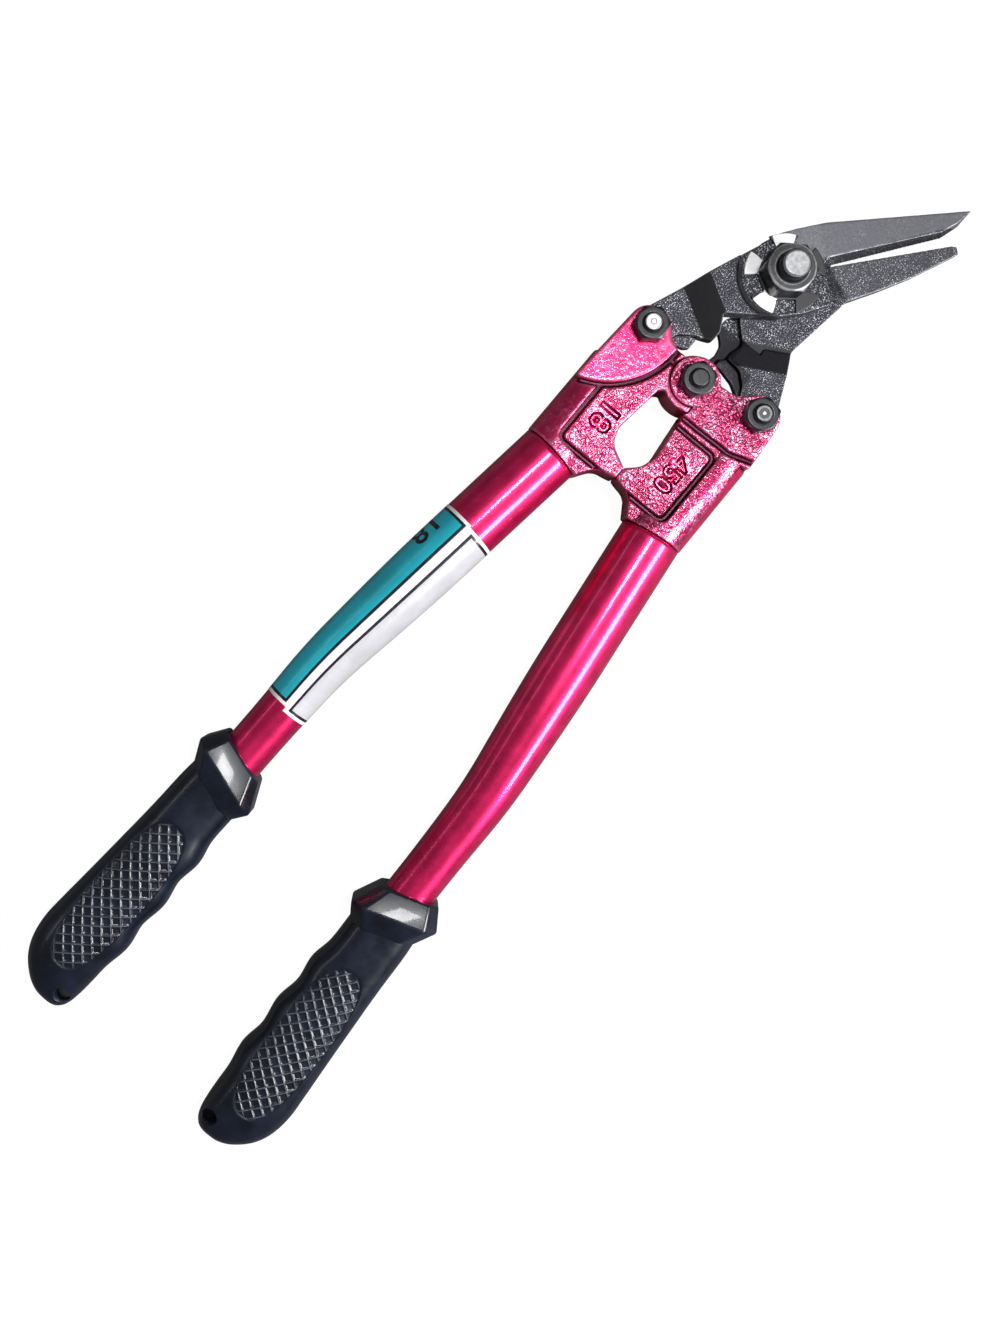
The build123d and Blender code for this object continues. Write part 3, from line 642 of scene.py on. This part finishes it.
jawMake = {"voxel": 0.35, "rounds": 1, "cavityRounds": 10, "band": (20.0, 31.0),
           "edgeWay": (0.5934, 0.8049), "facetAt": (17.0, -12.5), "facetWay": (14.3, -6.5), "facetSpan": 15.7,
           "lowerGround": 0.24, "crescentReach": (16.6, 17.2, 19.8, 20.8), "crescentTurn": (104, 124, 212, 228)}


def groundPart(co):  # the ground blades, beyond the hub
    x, y = fromBlade(co)
    upper = smoothStep(12.5, 14.5, math.hypot(x, y)) * smoothStep(6.0, 9.0, x)
    facetX, facetY = jawMake["facetAt"]
    wayX, wayY = jawMake["facetWay"]
    lower = smoothStep(0.0, 1.0, ((x - facetX) * wayX + (y - facetY) * wayY) / jawMake["facetSpan"])
    # the upper blade's bevel along the cutting edge is left out of the ground finish, as painted shade
    if co.z > bladePivot.z:
        return upper * smoothStep(2.2, 2.8, edgeDistance(x, y))
    return jawMake["lowerGround"] * lower


def edgeDistance(x, y):  # from the upper blade's cutting edge
    wayX, wayY = jawMake["edgeWay"]
    return wayX * x + wayY * y


def smoothShadedBand(co):  # the plain ramps between the lugs and the middle of each jaw: smooth, unspeckled and with painted shade; and painted shade on the upper blade's bevel
    side = 1 if co.y > bladePivot.y else -1
    corner = upperJawPivot if side > 0 else lowerJawPivot
    way = (bladePivot - corner).to_2d().normalized()
    reach = (co - corner).to_2d().dot(way) / mm
    low, high = jawMake["band"]
    band = smoothStep(low - 0.4, low + 0.4, reach) * (1 - smoothStep(high - 0.4, high + 0.4, reach))
    x, y = fromBlade(co)
    bevel = smoothStep(19.0, 20.0, x) * (1 - smoothStep(2.2, 2.8, edgeDistance(x, y)))
    return max(band, 0.7 * bevel if co.z > bladePivot.z + 0.3 * mm else 0.0)


def lobeShade(co):  # painted shade on the cams between the jaws' lugs, which lie low in shadow
    x, y = (co - bladePivot).to_2d() / mm
    inner = smoothStep(-6.8, -5.8, y) * (1 - smoothStep(-29.5, -28.5, x))
    outer = smoothStep(-17.0, -16.0, y) * (1 - smoothStep(-39.2, -38.2, x))
    return 0.85 * max(inner, outer)


def hubCrescentShadow(co):  # painted shadow of the step beside the washer, on the handles' side
    x, y = (co - bladePivot).to_2d() / mm
    reach, turn = math.hypot(x, y), math.degrees(math.atan2(y, x)) % 360
    if co.z < bladePivot.z + 0.3 * mm:
        return 0.0
    a, b, c, d = jawMake["crescentReach"]
    ring = smoothStep(a, b, reach) * (1 - smoothStep(c, d, reach))
    a, b, c, d = jawMake["crescentTurn"]
    return 0.95 * ring * smoothStep(a, b, turn) * (1 - smoothStep(c, d, turn))


def jaw(name, node, shade):
    piece = voxelSkin(finishMesh(cadCopy(node), name), jawMake["voxel"] * mm, jawMake["rounds"])
    paintMask(piece, "ground", groundPart)
    paintMask(piece, "smoothShadedBand", smoothShadedBand)
    paintMask(piece, "shade", shade)
    paintCavity(piece, jawMake["cavityRounds"])
    return piece


dress(jaw("jaw_upper_forging", "jaw_upper", hubCrescentShadow), "upper_jaw_set", "jaw", steel, "jaw_upper")
dress(jaw("jaw_lower_forging", "jaw_lower", lobeShade), "lower_jaw_set", "jaw", steel, "jaw_lower")
print("jaws ready")


# distance from the collar, side towards the axis, outer side, half height (millimetres)
gripRows = [
    (186.0, -13.2, 13.2, 12.4), (197.0, -13.6, 14.2, 12.3), (212.0, -13.6, 14.6, 12.2),
    (222.0, -15.4, 15.0, 12.4), (233.0, -14.2, 15.6, 12.6), (244.0, -16.0, 16.2, 12.8),
    (256.0, -14.6, 16.9, 13.1), (267.0, -16.2, 17.6, 13.4), (278.0, -14.6, 18.0, 13.4),
    (287.0, -14.2, 16.6, 12.6), (294.0, -13.7, 13.3, 11.4), (299.5, -12.6, 8.0, 9.4),
    (302.6, -10.4, 3.0, 6.8), (303.9, -7.6, -2.2, 3.4),
]
gripMake = {"along": 350, "around": 270, "squareness": 2.6, "holeAt": 296.0, "holeDrop": 8.6, "holeRadius": 3.4,
            "panelMiddle": 250.0, "panelSide": 0.6, "panelLength": 37.0, "panelWidth": 11.6,
            "panelSink": 0.55, "panelSquareness": 2.6, "ridge": 0.5, "pitch": 3.8, "leans": (-41, 52),
            "crowd": 1.35, "mouth": 176.0, "slant": 17.0, "guardBevel": 0.9}


def gripSurface(u, v):
    first, last = gripRows[0][0], gripRows[-1][0]
    distance = first + (last - first) * (1 - (1 - u) ** gripMake["crowd"])
    inner, outer, half = curveThrough(gripRows, distance)
    turn = 2 * math.pi * v
    power = 2 / gripMake["squareness"]
    across = math.copysign(abs(math.cos(turn)) ** power, math.cos(turn))
    height = math.copysign(abs(math.sin(turn)) ** power, math.sin(turn))
    side = (inner + outer) / 2 + across * (outer - inner) / 2
    point, outward, along = station(distance)
    sink = panelRelief(distance, side) if abs(height) > 0.2 else 0.0
    level = height * half - math.copysign(sink, height)
    return point + outward * side * mm + up * level * mm


def panelInside(distance, side):  # 1 in the panel's middle, 0 on its rim
    a = (distance - gripMake["panelMiddle"]) / gripMake["panelLength"]
    b = (side - gripMake["panelSide"]) / gripMake["panelWidth"]
    power = gripMake["panelSquareness"]
    return 1 - (abs(a) ** power + abs(b) ** power) ** (1 / power)


def panelRelief(distance, side):  # a sunk oval panel with crossed ridges
    inside = panelInside(distance, side)
    if inside <= 0:
        return 0.0
    depth = smoothStep(0.0, 0.05, inside)
    lines = 0.0
    for phase in latticePhases(distance, side):
        lines = max(lines, 1 - smoothStep(0.06, 0.16, abs(phase - round(phase))))
    return depth * (gripMake["panelSink"] - gripMake["ridge"] * lines * smoothStep(0.03, 0.08, inside))


def latticePhases(distance, side):  # where a point is between the ridges of each family
    return [(distance * math.sin(lean) - side * math.cos(lean)) / gripMake["pitch"]
            for lean in map(math.radians, gripMake["leans"])]


def gripPlace(co):  # distance and side of a point, on the straight end of the handle
    point, outward, along = station(gripMake["panelMiddle"])
    offset = (co - point) / mm
    return gripMake["panelMiddle"] + offset.dot(along), offset.dot(outward)


def panelDepth(co):
    return max(0.0, panelInside(*gripPlace(co)))


def gripBody(name):
    bm = skinGrid(gripMake["along"], gripMake["around"], gripSurface)
    bmesh.ops.holes_fill(bm, edges=[e for e in bm.edges if e.is_boundary], sides=0)
    bmesh.ops.recalc_face_normals(bm, faces=bm.faces)
    body = finishMesh(bm, name)
    point, outward, along = station(gripMake["holeAt"])
    centre = point - outward * gripMake["holeDrop"] * mm
    bm = bmesh.new()
    bmesh.ops.create_cone(bm, cap_ends=True, segments=48, radius1=gripMake["holeRadius"] * mm,
                          radius2=gripMake["holeRadius"] * mm, depth=60 * mm)
    bmesh.ops.translate(bm, vec=centre, verts=bm.verts)
    cutAway(body, finishMesh(bm, "hole", False))
    paintMask(body, "latticeA", lambda co: latticePhases(*gripPlace(co))[0])
    paintMask(body, "latticeB", lambda co: latticePhases(*gripPlace(co))[1])
    paintMask(body, "panel", panelDepth)
    return body


# distance past the grip's mouth, side towards the axis, outer side, half height, corner cut
guardRows = [(0.0, -12.6, 12.4, 11.6, 4.0), (10.6, -18.6, 18.4, 14.5, 5.5), (19.5, -13.4, 13.4, 12.4, 5.5)]


def gripGuard(name):
    slant = Matrix.Rotation(math.radians(-gripMake["slant"]), 3, "Z")
    bm = bmesh.new()
    ring = bmesh.ops.create_circle(bm, cap_ends=False, segments=8, radius=1.0)["verts"]
    edges = bm.edges[:]
    loops = [ring]
    for row in guardRows[1:]:
        made = bmesh.ops.extrude_edge_only(bm, edges=edges)["geom"]
        edges = [g for g in made if isinstance(g, bmesh.types.BMEdge) and len(g.link_faces) == 1]
        previous = loops[-1]
        new = [g for g in made if isinstance(g, bmesh.types.BMVert)]
        order = []
        for v in previous:
            order.append(next(e.other_vert(v) for e in v.link_edges if e.other_vert(v) in new))
        loops.append(order)
    for (offset, inner, outer, half, cut), loop in zip(guardRows, loops):
        corners = [(outer, half - cut), (outer - cut, half), (inner + cut, half), (inner, half - cut),
                   (inner, cut - half), (inner + cut, -half), (outer - cut, -half), (outer, cut - half)]
        base, outward, along = station(gripMake["mouth"] + offset)
        for v, (side, height) in zip(loop, corners):
            v.co = base + (slant @ outward) * side * mm + up * height * mm
    bmesh.ops.holes_fill(bm, edges=[e for e in bm.edges if e.is_boundary], sides=0)
    bmesh.ops.recalc_face_normals(bm, faces=bm.faces)
    bmesh.ops.bevel(bm, geom=bm.edges[:] + bm.verts[:], offset=gripMake["guardBevel"] * mm, segments=4, profile=0.5,
                    affect="EDGES", material=-1)
    return finishMesh(bm, name)


dress(gripBody("grip_upper"), "upper_handle", "grip", plastic, "handle_grip_upper")
dress(gripGuard("guard_upper"), "upper_handle", "grip", plastic)
dress(turnOver(gripBody("grip_lower")), "lower_handle", "grip", plastic, "handle_grip_lower")
dress(turnOver(gripGuard("guard_lower")), "lower_handle", "grip", plastic)
print("grips ready")


fastenerMake = {"voxel": 0.22, "rounds": 2, "cavityRounds": 6, "tabs": 3, "tabTurn": 41.0, "tabReach": 10.6}


# the rings are bare steel on the bolt ends, and painted highlights on the blade nut's top and the lower bolt's centre
def endRings(centre, low, values):  # rings on a bolt's upper end: (radius, brightness)
    def rule(co):
        reach = (co - centre).to_2d().length / mm
        if co.z < bladePivot.z + low * mm:
            return 0.0
        for radius, value in values:
            if reach < radius:
                return value
        return 0.0
    return rule


def fastener(name, node, body, slot, material, bright):
    piece = voxelSkin(finishMesh(cadCopy(node), name), fastenerMake["voxel"] * mm, fastenerMake["rounds"])
    paintMask(piece, "bright", bright)
    paintCavity(piece, fastenerMake["cavityRounds"])
    return dress(piece, body, slot, material, node)


def plainDark(co):
    return 0.0


def tabsOutsideShade(co):  # the washer's three tabs keep the zinc colour; the rest gets painted shade
    x, y = (co - bladePivot).to_2d() / mm
    turn = (math.degrees(math.atan2(y, x)) - fastenerMake["tabTurn"] + 36) % 360
    offset = abs(turn % 72 - 36)
    clean = turn < 72 * fastenerMake["tabs"] and math.hypot(x, y) > fastenerMake["tabReach"]
    return 1 - smoothStep(16.0, 18.0, offset) if clean else 0.0


fastener("bolt_jaw_upper", "jaw_pivot_bolt_upper", "upper_handle", "fastener", oxide,
         endRings(upperJawPivot, 16.5, ((0.8, 1.0), (1.4, 0.25), (2.7, 0.95), (3.3, 0.4))))
fastener("nut_jaw_upper", "jaw_pivot_nut_upper", "upper_handle", "fastener", oxide, plainDark)
fastener("bolt_handle", "handle_pivot_bolt", "lower_handle", "fastener", oxide, plainDark)
fastener("nut_handle", "handle_pivot_nut", "lower_handle", "fastener", oxide, plainDark)
# a painted glint at the centre of this bolt's end
fastener("bolt_jaw_lower", "jaw_pivot_bolt_lower", "lower_handle", "fastener", oxide,
         endRings(lowerJawPivot, 16.5, ((0.7, 0.7), (2.2, 0.05), (3.0, 0.25))))
fastener("nut_jaw_lower", "jaw_pivot_nut_lower", "lower_handle", "fastener", oxide, plainDark)
fastener("bolt_blade", "blade_pivot_bolt", "upper_jaw_set", "fastener", oxide,
         endRings(bladePivot, 22.6, ((4.6, 0.6), (5.5, 0.25))))
# painted highlight rings on the blade nut's top
fastener("nut_blade", "blade_pivot_nut", "upper_jaw_set", "fastener", oxide,
         endRings(bladePivot, 16.7, ((6.8, 0.0), (7.2, 0.3), (9.0, 0.07), (9.7, 0.35), (20.0, 0.02))))
fastener("washer_tabs", "blade_pivot_tab_washer", "upper_jaw_set", "zinc", zinc, tabsOutsideShade)
# the plain washer is painted all in the shade colour
fastener("washer_plain", "blade_pivot_washer", "upper_jaw_set", "zinc", zinc, plainDark)
print("fasteners ready")


# lengths along the tube from the collar; turns in degrees from the outer side over the top
labelMake = {"thick": 0.10, "lift": 0.03, "seamTurn": 91.0, "markStep": 0.7, "markLift": 0.03, "markWeight": 0.25,
             "digitShare": 0.69, "along": 110, "around": 50,
             "tealStart": 45.0, "tealLength": 104.0, "tealTurn": -10.0, "tealSeam": 1.2,
             "whiteStart": 45.8, "whiteEnd": 151.0, "whiteLength": 105.0, "whiteTurn": 190.0, "whiteSeam": 2.0,
             "mark": ("18", 51.5, 8.0, 10.0)}


def sizeMark(bm, words, start, turn, height):  # plain printed digits, curved round the tube
    mesh = lettering(words, height / labelMake["digitShare"] * mm, labelMake["markWeight"] * mm, 4)
    known = set(bm.verts)
    bm.from_mesh(mesh)
    bpy.data.meshes.remove(mesh)
    layer = bm.loops.layers.uv.verify()
    rows = int(height / labelMake["markStep"]) + 2
    for row in range(rows):
        new = [f for f in bm.faces if f.verts[0] not in known]
        geom = new + list({e for f in new for e in f.edges}) + list({v for f in new for v in f.verts})
        level = row * labelMake["markStep"] * mm
        bmesh.ops.bisect_plane(bm, geom=geom, plane_co=(0, level, 0), plane_no=(0, 1, 0))
    for v in bm.verts:
        if v not in known:
            distance = start + v.co.x / mm
            point, outward, along = station(distance)
            radius = tubeRadius(distance) + labelMake["lift"] + labelMake["thick"] + labelMake["markLift"]
            angle = math.radians(turn) + v.co.y / mm / radius
            v.co = point + (outward * math.cos(angle) + up * math.sin(angle)) * radius * mm
    for face in bm.faces:
        if face.verts[0] not in known:
            face.normal_update()
            if face.normal.z < 0:
                face.normal_flip()
            for loop in face.loops:
                loop[layer].uv = ((labelLook["rim"] + labelLook["line"] / 2) / labelMake["tealLength"], 0.5)


def labelStrip(name, start, end, lastTurn, mark=None):
    def place(u, v):
        distance = start + (end - start) * u
        point, outward, along = station(distance)
        turn = math.radians(labelMake["seamTurn"] + (lastTurn - labelMake["seamTurn"]) * v)
        radius = (tubeRadius(distance) + labelMake["lift"] + labelMake["thick"]) * mm
        return point + outward * radius * math.cos(turn) + up * radius * math.sin(turn)

    bm = skinGrid(labelMake["along"], labelMake["around"], place, closed=False)
    bmesh.ops.recalc_face_normals(bm, faces=bm.faces)
    for face in bm.faces:
        face.normal_update()
    if sum(face.normal.z for face in bm.faces) < 0:
        bmesh.ops.reverse_faces(bm, faces=bm.faces)
    if mark:
        sizeMark(bm, *mark)
    return finishMesh(bm, name)


teal = labelFilm("label_teal_film", labelLook["teal"], labelMake["tealLength"], labelMake["tealSeam"])
white = labelFilm("label_white_film", labelLook["white"], labelMake["whiteLength"], labelMake["whiteSeam"])
tealEnd = labelMake["tealStart"] + labelMake["tealLength"]
tealStrip = labelStrip("label_teal_strip", labelMake["tealStart"], tealEnd, labelMake["tealTurn"], labelMake["mark"])
whiteStrip = labelStrip("label_white_strip", labelMake["whiteStart"], labelMake["whiteEnd"], labelMake["whiteTurn"])
dress(tealStrip, "upper_handle", "label_teal", teal, "size_label")
dress(whiteStrip, "upper_handle", "label_white", white, "plain_label")
print("labels ready")


studio = {"floorSize": 6.0, "floorTone": 0.86, "floorBounce": 0.13, "floorGlow": 0.92, "glowPower": 1.05,
          "world": 0.12, "lens": 34.6, "shift": (0.0682, -0.0341), "camera": (-0.0288, 0.0285), "cameraHeight": 0.520,
          "cameraTurn": -50.28}


def makeFloor():
    bm = bmesh.new()
    bmesh.ops.create_grid(bm, x_segments=1, y_segments=1, size=studio["floorSize"] / 2)
    floor = finishMesh(bm, "floor", False)
    material, tree, shader = newMaterial("floor_paper", (studio["floorTone"],) * 3, 0.0, 0.9)
    glow = tree.nodes.new("ShaderNodeEmission")
    glow.inputs["Strength"].default_value = studio["glowPower"]
    light = tree.nodes.new("ShaderNodeLightPath")
    share = arith(tree, "MULTIPLY", light.outputs["Is Camera Ray"], studio["floorGlow"])
    bounce, tone = (studio["floorBounce"],) * 3, (studio["floorTone"],) * 3
    seen = blendColors(tree, light.outputs["Is Camera Ray"], bounce, tone)
    tree.links.new(seen, shader.inputs["Base Color"])
    mixer = tree.nodes.new("ShaderNodeMixShader")
    tree.links.new(share, mixer.inputs["Fac"])
    tree.links.new(shader.outputs["BSDF"], mixer.inputs[1])
    tree.links.new(glow.outputs["Emission"], mixer.inputs[2])
    tree.links.new(mixer.outputs["Shader"], tree.nodes["Material Output"].inputs["Surface"])
    floor.data.materials.append(material)


def makeLamp(name, place, aim, width, height, power):
    lamp = bpy.data.lights.new(name, "AREA")
    lamp.shape = "RECTANGLE"
    lamp.size = width
    lamp.size_y = height
    lamp.energy = power
    holder = bpy.data.objects.new(name, lamp)
    holder.location = place
    holder.rotation_euler = (Vector(aim) - Vector(place)).to_track_quat("-Z", "Y").to_euler()
    scene.collection.objects.link(holder)


def makeWorld():
    world = bpy.data.worlds.new("studio")
    world.use_nodes = True
    background = world.node_tree.nodes["Background"]
    background.inputs["Color"].default_value = (1, 1, 1, 1)
    background.inputs["Strength"].default_value = studio["world"]
    scene.world = world


def makeCamera():
    camera = bpy.data.cameras.new("camera")
    camera.lens = studio["lens"]
    camera.sensor_width = 36
    camera.shift_x, camera.shift_y = studio["shift"]
    holder = bpy.data.objects.new("camera", camera)
    holder.location = (*studio["camera"], bladePivot.z + studio["cameraHeight"])
    holder.rotation_euler = (0, 0, math.radians(studio["cameraTurn"]))
    scene.collection.objects.link(holder)
    scene.camera = holder


makeFloor()
makeLamp("key", (0.18, -0.74, 0.58), (-0.02, 0, 0.01), 0.60, 0.24, 15)
makeLamp("facets", (0.20, -0.05, 0.97), (-0.118, 0, 0.02), 0.15, 0.20, 4.8)
makeLamp("rim", (-0.25, 0.75, 0.55), (0, 0, 0.01), 0.9, 0.06, 0.5)
makeWorld()
makeCamera()
scene.view_settings.view_transform = "Standard"

print("studio ready")
